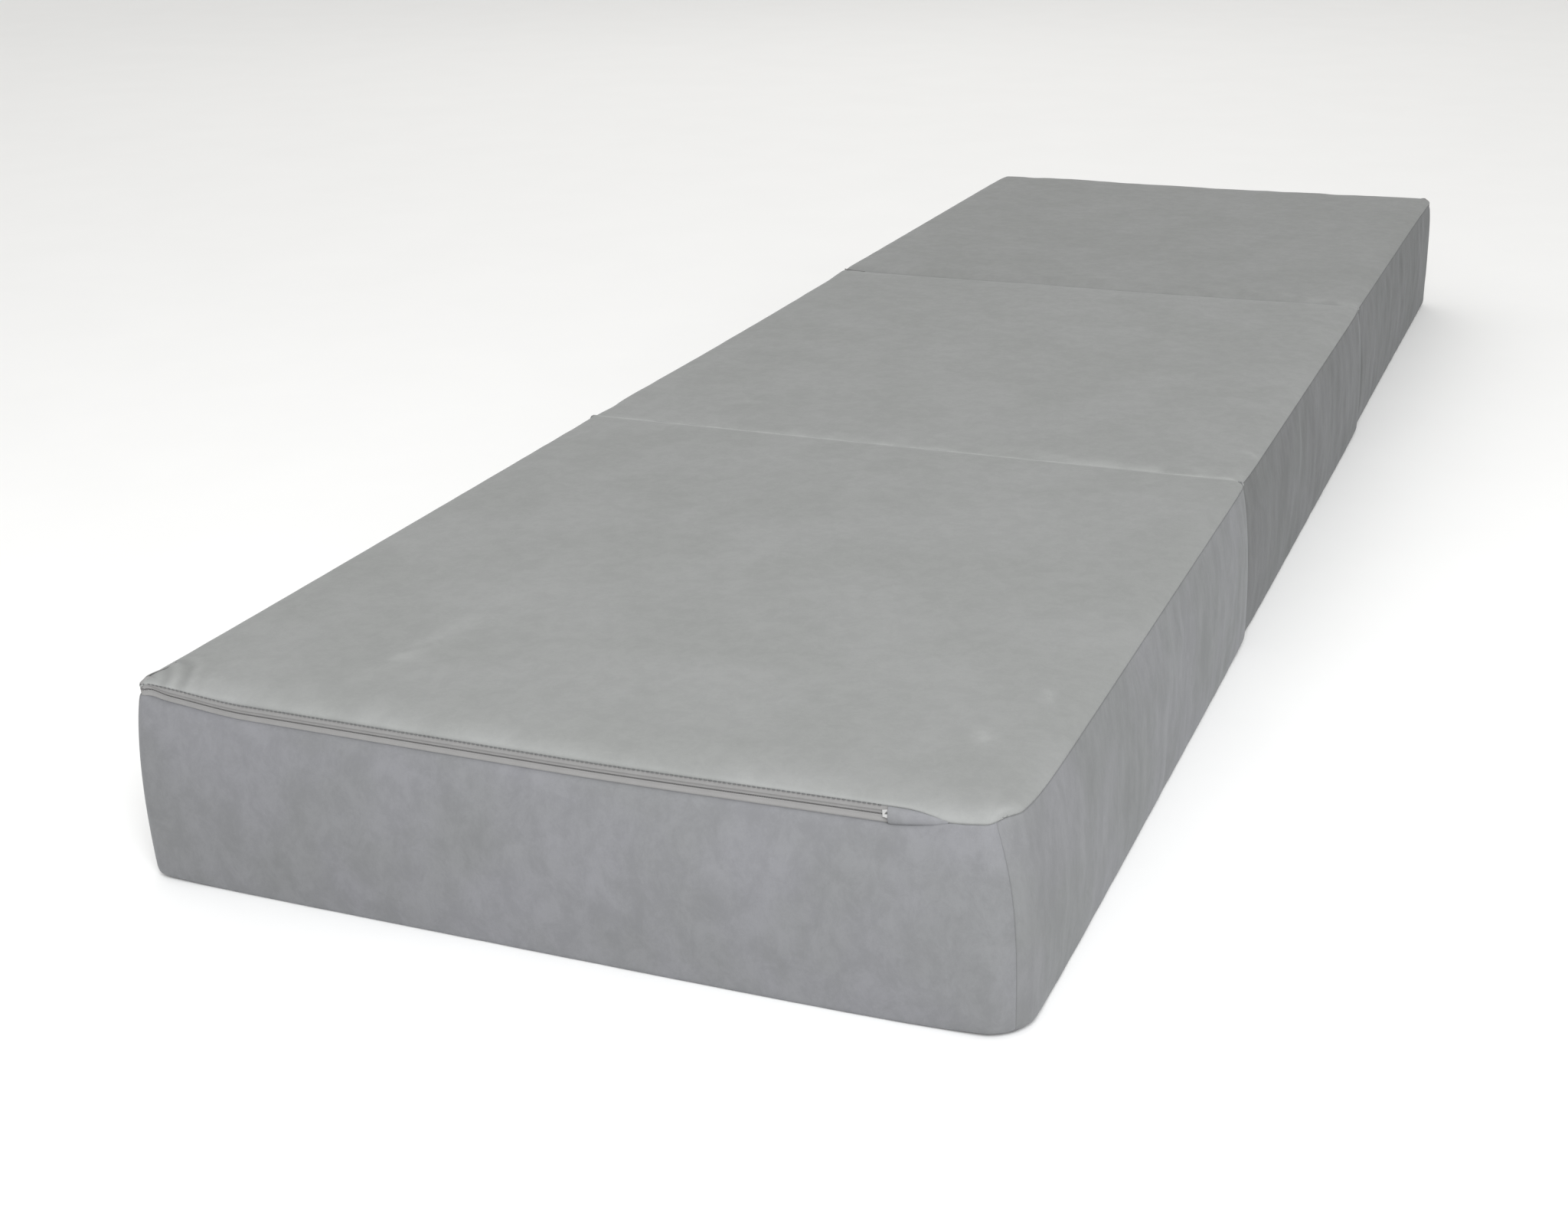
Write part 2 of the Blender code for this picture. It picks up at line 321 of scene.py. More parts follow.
def woven_tape(name, colour):
    """Zip tape: fine twill ribs in both directions."""
    shader = Shader(name)
    ribs = shader.add("TexWave", "Fac", {"Vector": shader.place((1, 1, 1), (0, 0, 0.78)), "Scale": 380.0,
                                         "Distortion": 0.8, "Detail": 1.0}, bands_direction="DIAGONAL")
    dust = shader.noise(shader.place(), 70.0, 5.0, 0.6)
    base = shader.mix(shader.math("MULTIPLY", ribs, 0.12), colour, scaled(colour, 0.8))
    base = shader.mix(shader.spread(dust, 0.35, 0.7, 0.0, 0.25), base, scaled(colour, 1.2))
    shader.set("Sheen Weight", 0.12)
    return shader.done(base, shader.spread(ribs, 0.0, 1.0, 0.62, 0.8), shader.bump(ribs, 0.00006, 0.5))


def nylon(name, colour):
    """Moulded nylon of the zip's coils."""
    shader = Shader(name)
    speck = shader.noise(shader.place(), 900.0, 2.0)
    tone = shader.mix(speck, scaled(colour, 0.8), scaled(colour, 1.25))
    return shader.done(tone, shader.spread(speck, 0.3, 0.7, 0.34, 0.5), shader.bump(speck, 0.00003, 0.4))


def plated_metal(name):
    """Nickel plating with fine scratches and duller, handled patches."""
    shader = Shader(name)
    scratches = shader.noise(shader.place((1500.0, 5200.0, 1500.0)), 1.0, 3.0, 0.7)
    handled = shader.noise(shader.place(), 420.0, 3.0)
    shader.set("Metallic", 1.0)
    tone = shader.mix(handled, (0.46, 0.46, 0.455), (0.6, 0.6, 0.6))
    rough = shader.spread(handled, 0.3, 0.7, 0.2, 0.38)
    return shader.done(tone, rough, shader.bump(scratches, 0.00002, 0.35))


def foam(name, colour, cell):
    """Open-cell foam: pores over a slightly uneven colour."""
    shader = Shader(name)
    where = shader.place()
    pores = shader.add("TexVoronoi", "Distance", {"Vector": where, "Scale": 1.0 / cell})
    age = shader.noise(where, 14.0, 4.0)
    base = shader.mix(age, scaled(colour, 0.92), scaled(colour, 1.05))
    # Painted shade: the pores' middles darker, as if shaded inside the open cells.
    base = shader.mix(shader.spread(pores, 0.15, 0.5, 0.35, 0.0), base, scaled(colour, 0.6))
    return shader.done(base, shader.spread(pores, 0.0, 0.6, 0.95, 0.85), shader.bump(pores, cell * 0.4, 0.7))


def thread(name, colour):
    """Twisted polyester sewing thread."""
    shader = Shader(name)
    waves = {"Vector": shader.place(), "Scale": 900.0}
    twist = shader.add("TexWave", "Fac", waves, bands_direction="DIAGONAL")
    return shader.done(shader.mix(twist, colour, scaled(colour, 0.7)), 0.6, shader.bump(twist, 0.00005, 0.6))


# --- Meshes


def new_object(name, points, faces, material):
    mesh = bpy.data.meshes.new(name)
    mesh.from_pydata(np.asarray(points, float).reshape(-1, 3).tolist(), [], faces)
    mesh.polygons.foreach_set("use_smooth", [True] * len(mesh.polygons))
    mesh.materials.append(material)
    mesh.update()
    return link(name, mesh)


def circle(count):
    turn = np.arange(count) * 2 * math.pi / count
    return np.stack([np.cos(turn), np.sin(turn)], -1)


def grid_faces(rows, columns, flip=False):
    """Quads of a grid whose points are stored row by row."""
    faces = []
    for i in range(rows - 1):
        for j in range(columns - 1):
            a = i * columns + j
            quad = (a, a + 1, a + columns + 1, a + columns)
            faces.append(quad[::-1] if flip else quad)
    return faces


def add_sheet(name, grid, material, thick=CLOTH, marks=None, flip=False):
    """A cloth piece from a grid of points on its outer face, thickened inwards.

    marks are values at the points, by name, for its material.
    """
    rows, columns, _ = grid.shape
    made = new_object(name, grid, grid_faces(rows, columns, flip), material)
    for key, value in (marks or {}).items():
        values = made.data.attributes.new(key, "FLOAT", "POINT")
        values.data.foreach_set("value", np.asarray(value, np.float32).ravel())
    solid = made.modifiers.new("cloth", "SOLIDIFY")
    solid.thickness = thick
    solid.offset = -1.0
    return made


def spaced(low, high, steps, cell):
    """Grid lines from low to high: fine steps at both ends, even cells between."""
    ends = np.concatenate([[0.0], np.cumsum(steps)])
    count = max(2, round((high - low - 2 * ends[-1]) / cell))
    middle = np.linspace(low + ends[-1], high - ends[-1], count + 1)
    return np.concatenate([low + ends[:-1], middle, (high - ends[:-1])[::-1]])


def quarter_round(share):
    """From 1 at share 0 to 0 at share 1 and beyond, as a quarter of an ellipse."""
    left = np.clip(1.0 - share, 0.0, 1.0)
    return 1.0 - np.sqrt(1.0 - left**2)


def smooth_step(value, low, high):
    t = np.clip((value - low) / (high - low), 0.0, 1.0)
    return t * t * (3.0 - 2.0 * t)


def zip_sag(u):
    """The zip's height at u above its straight line: up at its first corner, then down."""
    droop = smooth_step(u, -0.322, -0.238) * (1 - 0.85 * smooth_step(u, 0.0, 0.3))
    return ZIP_CORNER_RISE * zip_start(u) - ZIP_SAG * droop


def zip_start(u):
    """0 along the zip and 1 at its first corner, where the slider never comes."""
    return smooth_step(-u, 0.006 - ZIP_OPEN_END, 0.028 - ZIP_OPEN_END)


def along_garage(u):
    return np.clip((u - GARAGE_START) / (GARAGE_END - GARAGE_START), 0.0, 1.0)


def zip_lift(u):
    """0 along the zip, past the open slider's pull too, and 1 where it rounds its first corner."""
    return smooth_step(-u, 0.02 - ZIP_OPEN_END, 0.031 - ZIP_OPEN_END)


def tape_depth(u, across, upper):
    """How far in the tape's face lies: against the cloth's edges, and deeper behind them."""
    beside = smooth_step(across, 0.0022, 0.0036)
    hidden = 0.0066 - 0.0029 * zip_start(u) if upper else 0.005
    behind = 1.1 * np.maximum(across - hidden, 0.0)
    lift = zip_lift(u)
    past_corner = smooth_step(-u, 0.334, 0.35)
    return TAPE_DEPTH - 0.0012 * np.maximum(beside, lift) - ZIP_CORNER_LIFT * (lift - past_corner) + behind


def ripple(x, y, wavelength, seed, waves=20, stretch=1.0):
    """Smooth seeded noise of about unit size: a sum of plane waves near one wavelength."""
    random = np.random.default_rng(seed)
    total = np.zeros(np.broadcast(x, y).shape)
    for _ in range(waves):
        turn = random.uniform(0, math.pi)
        size = 2 * math.pi / (wavelength * random.uniform(0.7, 1.6))
        phase = random.uniform(0, 2 * math.pi)
        total += np.cos(size * (math.cos(turn) * x * stretch + math.sin(turn) * y) + phase)
    return total / math.sqrt(waves / 2)


def hermite(values, at, to):
    """Values on the lines at, read on the lines to, with a smooth slope. Works on axis 0."""
    slopes = np.gradient(values, at, axis=0)
    i = np.clip(np.searchsorted(at, to, side="right") - 1, 0, len(at) - 2)
    shape = (-1,) + (1,) * (values.ndim - 1)
    span = (at[i + 1] - at[i]).reshape(shape)
    t = np.clip((to - at[i]).reshape(shape) / span, 0.0, 1.0)
    return (
        (2 * t**3 - 3 * t**2 + 1) * values[i]
        + (t**3 - 2 * t**2 + t) * span * slopes[i]
        + (-2 * t**3 + 3 * t**2) * values[i + 1]
        + (t**3 - t**2) * span * slopes[i + 1]
    )


def resample(values, at_rows, at_columns, to_rows, to_columns):
    rows = hermite(values, at_rows, to_rows)
    return np.swapaxes(hermite(np.swapaxes(rows, 0, 1), at_columns, to_columns), 0, 1)


# --- A section's cover


@dataclass
class Wall:
    """One side of a section's cover, with the shape of its seams and its face.

    Its u runs to the right as seen from outside. base and flare are how high and how
    far out the bottom seam lies at the wall's start, middle and end. lean is how far in
    the top corners lie at its start and end, and slide is how far back along u the tops
    of the upright seams are drawn there.
    """

    low: float
    high: float
    seam: float = SEAM_HEIGHT
    roll: float = ROLL_RUN
    tuck: float = SEAM_TUCK
    bulge: float = 0.0035
    base: tuple = (0.004, 0.0003, 0.004)
    base_run: float = 0.014
    flare: tuple = (0.005, 0.005, 0.005)
    lean: tuple = (0.002, 0.002)
    lean_power: float = 30
    slide: tuple = (0, 0)
    zipped: bool = False
    meets_zip: bool = False
    tip: float = SEAM_AT_TIP

    def share(self, u):
        return np.clip((u - self.low) / (self.high - self.low), 0.0, 1.0)

    def near_corner(self, u):
        """1 where a zip has come round onto this wall, falling to 0 along ZIP_WRAP."""
        return smooth_step(u, self.high - ZIP_WRAP, self.high - ZIP_WRAP / 3)

    def panel_edge(self, u):
        """Height of the top panel's edge."""
        if not self.zipped:
            return np.full_like(u, self.seam)
        drop = (ZIP_HIGH - self.tip) * along_garage(u) ** 2.6 + (ZIP_CORNER_RISE - 0.0001) * zip_start(u)
        beyond = smooth_step(u, GARAGE_END, self.high)
        return ZIP_HIGH + zip_sag(u) - drop + (self.seam - self.tip) * beyond

    def border_edge(self, u):
        """Height of the border's upper edge, which the zip keeps away from the panel."""
        if self.zipped:
            low = ZIP_LOW + 0.0023 - 0.0022 * u
            rise = (self.tip - low) * along_garage(u) ** 1.6
            lens = low + zip_sag(u) + rise - 0.0009 * zip_start(u)
            return np.where(u < GARAGE_END, lens, self.panel_edge(u))
        if self.meets_zip:
            return self.seam + (ZIP_LOW + 0.0051 - self.seam) * self.near_corner(u)
        return np.full_like(u, self.seam)

    def edge_tuck(self, u):
        if self.zipped:
            tuck = ZIP_TUCK + (SEAM_TUCK - ZIP_TUCK) * smooth_step(u, GARAGE_START + 0.012, GARAGE_END)
            return tuck - ZIP_CORNER_LIFT * zip_lift(u)
        if self.meets_zip:
            return self.tuck + (ZIP_TUCK - ZIP_CORNER_LIFT - self.tuck) * self.near_corner(u)
        return np.full_like(u, self.tuck)

    def corner_lean(self, u):
        t = self.share(u)
        at_start = zip_start(u) if self.zipped else (1 - t) ** self.lean_power
        return self.lean[0] * at_start + self.lean[1] * t**self.lean_power

    def between(self, values, u, power):
        """The middle value, turning to the start's and the end's near the corners."""
        start, middle, end = values
        t = self.share(u)
        return middle + (start - middle) * (1 - t) ** power + (end - middle) * t**power

    def base_height(self, u):
        return self.between(self.base, u, 18)

    def bottom_flare(self, u):
        return self.between(self.flare, u, 7)

    def full_bulge(self, u):
        return np.full_like(u, self.bulge)


@dataclass
class Cover:
    """The cover of one section, as six grids of points round the section's centre.

    rect is its low and high x, then y, and radii are its upright corners' by their sides.
    """

    name: str
    centre: float
    rect: tuple
    walls: dict
    radii: dict

    def corners(self):
        for (sx, sy), radius in self.radii.items():
            yield sx, sy, radius, self.rect[sx > 0], self.rect[2 + (sy > 0)]

    def round_off(self, x, y):
        """Moves the rectangle's corners onto arcs, and the points inside with them."""
        x, y = x.copy(), y.copy()
        for sx, sy, radius, corner_x, corner_y in self.corners():
            a = sx * (x - corner_x) / radius + 1.0
            b = sy * (y - corner_y) / radius + 1.0
            inside = (a > 0) & (b > 0)
            a, b = np.clip(a, 0, 1), np.clip(b, 0, 1)
            x = np.where(inside, corner_x + sx * radius * (a * np.sqrt(1 - b * b / 2) - 1), x)
            y = np.where(inside, corner_y + sy * radius * (b * np.sqrt(1 - a * a / 2) - 1), y)
        return x, y

    def rim(self, wall, u):
        """Points on a wall's outer line, and the directions straight out from them."""
        x0, x1, y0, y1 = self.rect
        x = {"near": u, "right": np.full_like(u, x1), "far": -u, "left": np.full_like(u, x0)}[wall]
        y = {"near": np.full_like(u, y0), "right": u, "far": np.full_like(u, y1), "left": -u}[wall]
        nx, ny = np.full_like(u, OUTWARD[wall][0]), np.full_like(u, OUTWARD[wall][1])
        px, py = self.round_off(x, y)
        for sx, sy, radius, corner_x, corner_y in self.corners():
            middle_x, middle_y = corner_x - sx * radius, corner_y - sy * radius
            inside = (sx * (x - middle_x) > 0) & (sy * (y - middle_y) > 0)
            away = np.maximum(np.hypot(px - middle_x, py - middle_y), 1e-9)
            nx = np.where(inside, (px - middle_x) / away, nx)
            ny = np.where(inside, (py - middle_y) / away, ny)
        return px, py, nx, ny

    def rim_round(self, wall, u):
        """As rim, but a u below the wall's start runs on round the corner."""
        before = WALLS[WALLS.index(wall) - 1]
        past = u - self.walls[wall].low
        here = self.rim(wall, np.maximum(u, self.walls[wall].low))
        there = self.rim(before, self.walls[before].high + np.minimum(past, 0.0))
        return [np.where(past < 0, b, a) for a, b in zip(here, there)]

    def mixed(self, px, py, nx, ny, value):
        """A wall's value at points of the rim, mixed with its neighbour's round a corner."""
        total = 0.0
        for name, wall in self.walls.items():
            facing = np.maximum(0.0, nx * OUTWARD[name][0] + ny * OUTWARD[name][1]) ** 2
            u = px * ALONG[name][0] + py * ALONG[name][1]
            total = total + facing * value(wall, u)
        return total

    def on_wall(self, wall, u, z, out):
        """Points at height z, near its top, out from the wall's flat CAD face."""
        px, py, nx, ny = self.rim_round(wall, u)
        out = out - 0.9 * self.mixed(px, py, nx, ny, Wall.corner_lean)
        return np.stack([px + nx * out, py + ny * out + self.centre, z + 0 * u], -1)

    def wall_grid(self, wall, u, w, closed=False):
        """The wall's face: rows run down from its top seam, w 0, to its bottom seam, w 1."""
        ends = np.minimum(u - u[0], u[-1] - u)[None, :]
        shape = self.walls[wall]
        u, w = np.meshgrid(u, w)
        if not closed:
            t = shape.share(u)
            u = u - (shape.slide[0] * (1 - t) ** 16 + shape.slide[1] * t**16) * (1 - w) ** 6
        px, py, nx, ny = self.rim_round(wall, u)
        top, base, tuck, bulge, flare, lean = (
            self.mixed(px, py, nx, ny, value)
            for value in (Wall.panel_edge if closed else Wall.border_edge, Wall.base_height, Wall.edge_tuck,
                          Wall.full_bulge, Wall.bottom_flare, Wall.corner_lean))
        down = w * (top - base)
        up = (1 - w) * (top - base)
        out = bulge * np.sin(math.pi * w**0.85) ** 0.8
        out = out - tuck * quarter_round(down / (1.5 * tuck + 0.0016))
        out = out - lean * (1 - w) ** 3 + flare * w**0.8
        out = out - 0.003 * quarter_round(up / 0.007)
        out = out - 0.001 * np.exp(-ends / 0.0022) * np.sin(math.pi * np.clip(w * 1.02, 0, 1)) ** 0.3
        grid = np.stack([px + nx * out, py + ny * out, top - down], -1)
        grid[..., 1] += self.centre
        edge = np.minimum(np.minimum(down, up), ends + 0 * w)
        return grid, edge, np.stack([nx, ny, 0 * nx], -1)

    def cap_grid(self, x, y, top):
        """The top or bottom panel: rows run along y. Its edges meet the walls' edges."""
        gx, gy = np.meshgrid(x, y)
        px, py = self.round_off(gx, gy)
        x0, x1, y0, y1 = self.rect
        away = {"near": gy - y0, "right": x1 - gx, "far": y1 - gy, "left": gx - x0}
        shift = self.pulled(x, y, away, top)
        nearness, share, weight = 0.0, 0.0, 1e-12
        for name, wall in self.walls.items():
            u = gx * ALONG[name][0] + gy * ALONG[name][1]
            run = wall.roll if top else wall.base_run
            left = np.clip(1.0 - away[name] / run, 0.0, 1.0)
            nearness = nearness + left**6
            pull = left**4 + 1e-9
            share = share + pull * (HEIGHT - wall.panel_edge(u) if top else wall.base_height(u))
            weight = weight + pull
        left = np.clip(nearness ** (1 / 6), 0.0, 1.0)
        drop = share / weight * (1.0 - np.sqrt(1.0 - left**2))
        z = HEIGHT - drop if top else drop
        grid = np.stack([px + shift[..., 0], py + shift[..., 1] + self.centre, z], -1)
        self.meet_rim(grid, x, y, top)
        return grid, np.minimum.reduce(list(away.values()))

    def edge_lines(self, x, y):
        """The cap's four edges as walls see them: name, u, and their place in its grid."""
        return {
            "near": (x, (0, slice(None))),
            "right": (y, (slice(None), -1)),
            "far": (-x[::-1], (-1, slice(None, None, -1))),
            "left": (-y[::-1], (slice(None, None, -1), 0)),
        }

    def pulled(self, x, y, away, top):
        """How far each point of a cap moves so that its edges follow the seams."""
        if not top:
            return self.spread_in(x, y, away, lambda k, u: k.bottom_flare(u) - 0.003, 0.08, False)
        tucked = self.spread_in(x, y, away, lambda k, u: -k.edge_tuck(u), 0.006, True)
        return tucked + self.spread_in(x, y, away, lambda k, u: -k.corner_lean(u), 0.08, False)

    def spread_in(self, x, y, away, value, reach, sharp):
        """A move out of a cap's edges by value, spread inwards over reach."""
        lines = {}
        for name, (u, _) in self.edge_lines(x, y).items():
            px, py, nx, ny = self.rim(name, u)
            out = self.mixed(px, py, nx, ny, value)
            line = np.stack([nx * out, ny * out], -1)
            lines[name] = line if name in ("near", "right") else line[::-1]
        fade = {}
        for name, distance in away.items():
            fade[name] = quarter_round(distance / reach) if sharp else 1 - smooth_step(distance, 0, reach)
        moved = 0.0
        for end in ("near", "far"):
            moved = moved + fade[end][..., None] * lines[end][None]
            for side, corner in (("left", 0), ("right", -1)):
                moved = moved - (fade[end] * fade[side])[..., None] * lines[end][corner]
        for side in ("left", "right"):
            moved = moved + fade[side][..., None] * lines[side][:, None]
        return moved

    def meet_rim(self, grid, x, y, top):
        """Sets the height of a cap's outermost points to the seams' own."""
        for name, (u, place) in self.edge_lines(x, y).items():
            height = Wall.panel_edge if top else Wall.base_height
            grid[place + (2,)] = self.mixed(*self.rim(name, u), height)


EDGE_STEPS = (0.0003, 0.0005, 0.0008, 0.0011, 0.0014, 0.0017, 0.002, 0.0025, 0.003, 0.004, 0.005, 0.006)
FOOT_EDGE_STEPS = EDGE_STEPS[:6] + (0.002,) * 16 + (0.003,)
WALL_STEPS = (0.0004, 0.0006, 0.0008, 0.001, 0.0014, 0.002, 0.0028, 0.004, 0.0055)


def make_covers():
    """The three covers. Each is a little narrower on its right than the one before it."""
    top_fold = {"seam": HEIGHT - 0.0007, "roll": 0.005, "tuck": 0.0002, "bulge": 0.0002, "lean": (0, 0),
                "base": (0.004, 0.008, 0.004), "base_run": 0.02, "flare": (-0.0006, -0.002, -0.0006)}
    low_fold = {"seam": HEIGHT - 0.0085, "roll": 0.017, "tuck": 0.0006, "bulge": 0.0002, "lean": (0, 0),
                "base": (0.002, 0.001, 0.002), "base_run": 0.004, "flare": (-0.0005, -0.0004, -0.0005)}
    zipped = {"zipped": True, "seam": SEAM_AT_CORNER, "roll": 0.022, "bulge": 0.005,
              "base": (0.003, 0.0003, 0.005), "flare": (0.009, 0.009, 0.005), "lean": (0.0, 0.013)}
    beside = {"meets_zip": True, "bulge": 0.005, "base": (0.004, 0.0003, 0.003),
              "flare": (0.005, 0.005, 0.009), "lean": (0.0, -0.002), "lean_power": 8}
    after = {"base": (0.005, 0.0003, 0.004), "flare": (0.005, 0.006, 0.006), "lean": (0.013, 0.001)}
    looks = {
        "foot": {"near": {**zipped, "slide": (0.0, 0.011)}, "right": {**after, "slide": (0.011, 0.0)},
                 "far": top_fold, "left": beside},
        "middle": {"near": top_fold, "right": {}, "far": {**low_fold, "meets_zip": True},
                   "left": {**zipped, "seam": SEAM_HEIGHT, "tip": HEIGHT - 0.0085, "roll": 0.014,
                            "flare": (0.005, 0.005, 0.005), "lean": (0.0, 0.001)}},
        "head": {"near": low_fold, "right": {**beside, "bulge": 0.002, "flare": (0.004, 0.002, 0.002)},
                 "far": {**zipped, "flare": (0.002, 0.003, 0.003)}, "left": after},
    }
    pulled_in = {"foot": 0.0, "middle": 0.002, "head": 0.004}
    covers = {}
    for name in SECTIONS:
        low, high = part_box(f"{name}_top_panel")
        centre = (low.y + high.y) / 2
        rect = (low.x, high.x - pulled_in[name], low.y - centre, high.y - centre)
        x0, x1, y0, y1 = rect
        ends = {"near": (x0, x1), "right": (y0, y1), "far": (-x1, -x0), "left": (-y1, -y0)}
        walls = {wall: Wall(*ends[wall], **looks[name][wall]) for wall in WALLS}
        radii = {(sx, sy): {top_fold["seam"]: TOP_FOLD_RADIUS, low_fold["seam"]: LOW_FOLD_RADIUS}.get(
            walls[end].seam, CORNER_RADIUS) for sx in (-1, 1) for sy, end in ((-1, "near"), (1, "far"))}
        if name == "foot":
            radii[(-1, -1)], radii[(1, -1)] = FOOT_LEFT_RADIUS, FOOT_RIGHT_RADIUS
        covers[name] = Cover(name, centre, rect, walls, radii)
    return covers


def cover_grids(cover, cell_x, cell_y, cell_w, edge_steps, wall_steps, closed=False):
    """All six faces of a cover: grid, distance from the nearest seam, lines, and way out."""
    x0, x1, y0, y1 = cover.rect
    x = spaced(x0, x1, edge_steps, cell_x)
    y = spaced(y0, y1, edge_steps, cell_y)
    w = spaced(0.0, HEIGHT, wall_steps, cell_w) / HEIGHT
    faces = {}
    for end in ("top", "bottom"):
        grid, edge = cover.cap_grid(x, y, end == "top")
        faces[end] = {"grid": grid, "edge": edge, "rows": y, "columns": x, "out": np.array([0, 0, 1.0])}
    for name in WALLS:
        u = {"near": x, "right": y, "far": -x[::-1], "left": -y[::-1]}[name]
        grid, edge, out = cover.wall_grid(name, u, w, closed)
        faces[name] = {"grid": grid, "edge": edge, "rows": w, "columns": u, "out": out}
    return faces


def settle(cover):
    """Lets the cover's cloth swell under light pressure with its seams held.

    Returns how far each point of a coarse version of the cover moved.
    """
    faces = cover_grids(cover, SIM_CELL, SIM_CELL, SIM_CELL, (0.006, 0.01), (0.006, 0.01), closed=True)
    points, quads, held, index, places = [], [], set(), {}, {}
    for name, face in faces.items():
        grid = face["grid"]
        rows, columns, _ = grid.shape
        numbers = np.zeros((rows, columns), int)
        for i, j in np.ndindex(rows, columns):
            key = tuple(np.round(grid[i, j], 5))
            if key not in index:
                index[key] = len(points)
                points.append(grid[i, j])
            numbers[i, j] = index[key]
            if i in (0, rows - 1) or j in (0, columns - 1):
                held.add(index[key])
        places[name] = numbers
        quads += numbers.ravel()[np.array(grid_faces(rows, columns, name != "top"))].tolist()
    start = np.array(points)
    cloth = new_object(f"{cover.name}_settling", start, quads, None)
    cloth.vertex_groups.new(name="seams").add(sorted(held), 1.0, "REPLACE")
    modifier = cloth.modifiers.new("cloth", "CLOTH")
    settings = modifier.settings
    settings.quality = 6
    settings.mass = 0.3
    settings.tension_stiffness = settings.compression_stiffness = 18.0
    settings.shear_stiffness = 6.0
    settings.bending_stiffness = 0.4
    settings.use_pressure = True
    settings.uniform_pressure_force = SIM_PRESSURE
    settings.shrink_min = settings.shrink_max = -0.004
    settings.effector_weights.gravity = 0.0
    settings.vertex_group_mass = "seams"
    modifier.point_cache.frame_start = 1
    modifier.point_cache.frame_end = SIM_FRAMES
    scene = bpy.context.scene
    for frame_number in range(1, SIM_FRAMES + 1):
        scene.frame_set(frame_number)
    shaped = cloth.evaluated_get(bpy.context.evaluated_depsgraph_get()).data
    end = np.zeros(len(start) * 3, np.float32)
    shaped.vertices.foreach_get("co", end)
    moved = end.reshape(-1, 3) - start
    mesh = cloth.data
    bpy.data.objects.remove(cloth, do_unlink=True)
    bpy.data.meshes.remove(mesh)
    scene.frame_set(1)
    return {name: (moved[places[name]], faces[name]["rows"], faces[name]["columns"]) for name in faces}


def swell(faces, settled):
    """Moves a fine cover as the settled coarse one moved, within the caps. Its bottom stays flat."""
    for name in ("top", *WALLS):
        face = faces[name]
        fine = resample(*settled[name], face["rows"], face["columns"])
        along = (fine * face["out"]).sum(-1, keepdims=True)
        cap = TOP_CAP if name == "top" else WALL_CAP
        face["grid"] = face["grid"] + face["out"] * cap * np.tanh(along / (3 * cap))


# --- Creases


def crease_top(section, face):
    """Presses the unevenness of loose suede into a top panel, fading out at its seams."""
    grid = face["grid"]
    x, y = grid[..., 0], grid[..., 1]
    inner = smooth_step(face["edge"], 0.001, 0.018)
    seed = SECTIONS.index(section)
    lift = 0.00042 * ripple(x, y, 0.19, 10 + seed) + 0.00016 * ripple(x, y, 0.07, 20 + seed)
    lift = lift + 0.00005 * ripple(x, y, 0.03, 30 + seed)
    if section == "foot":
        lift = lift + 0.0011 * corner_fan(x, y) + 0.0013 * long_ridge(x, y) + zip_puckers(face, x)
    grid[..., 2] += lift * inner
    above = np.maximum(grid[..., 2] - HEIGHT, 0.0)
    grid[..., 2] += TOP_RISE * np.tanh(above / TOP_RISE) - above


def corner_fan(x, y):
    """Folds in arcs round the near left corner, where the zip pulls the cloth, about 1 high."""
    from_corner = np.hypot(x - cad_box[0].x, (y - cad_box[0].y) * 0.9)
    bend = from_corner + 0.0014 * ripple(x, y, 0.05, 51)
    folds = np.sin(2 * math.pi * bend / 0.012 - 1.05)
    reach = smooth_step(from_corner, 0.012, 0.022) * np.exp(-np.maximum(from_corner - 0.036, 0) / 0.01)
    return folds * reach


def long_ridge(x, y):
    """A soft ridge that runs back from the zip, 1 high."""
    middle = -0.172 + 0.16 * (y + 0.95) - 0.25 * (y + 0.95) ** 2
    across = (x - middle) / 0.014
    along = smooth_step(y, -0.965, -0.9) * (1 - smooth_step(y, -0.82, -0.7))
    return np.exp(-across**2) * along


def zip_puckers(face, x):
    """Short gathers where the zip is sewn to the top panel."""
    away = (face["rows"] - face["rows"][0])[:, None]
    gathers = ripple(x, 0 * x, 0.011, 61, 14)
    return 0.00045 * gathers * np.exp(-away / 0.01)


def crease_wall(section, name, face):
    """Light unevenness in a border, less where it lies in a fold."""
    z = face["grid"][..., 2]
    u = face["columns"][None, :] + 0 * z
    inner = smooth_step(face["edge"], 0.002, 0.022)
    seed = 100 + 10 * SECTIONS.index(section) + WALLS.index(name)
    in_fold = name in {"foot": ("far",), "middle": ("near", "far"), "head": ("near",)}[section]
    size = 0.25 if in_fold else 1.0
    push = 0.0005 * ripple(u, z, 0.15, seed) + 0.00022 * ripple(u, z, 0.05, seed + 400, stretch=1.6)
    face["grid"] += face["out"] * (push * inner * size)[..., None]


# --- Zip parts


def zip_tape(name, cover, wall, upper, material):
    """One half of the tape, from beside the zip line up or down behind the cloth."""
    u = spaced(TAPE_START, TAPE_END, (0.002,) * 9, 0.003)
    way = 1.0 if upper else -1.0
    across = (0.0005, 0.0012, 0.002, 0.0028, 0.0034, 0.004, 0.0046, 0.0052, 0.006, 0.0074, 0.0086)
    middle = ZIP_LINE + zip_sag(u)
    rows = [cover.on_wall(wall, u, middle + way * a, -tape_depth(u, a, upper)) for a in across]
    grid = np.stack(rows if upper else rows[::-1])
    return add_sheet(name, grid, material, 0.0006)


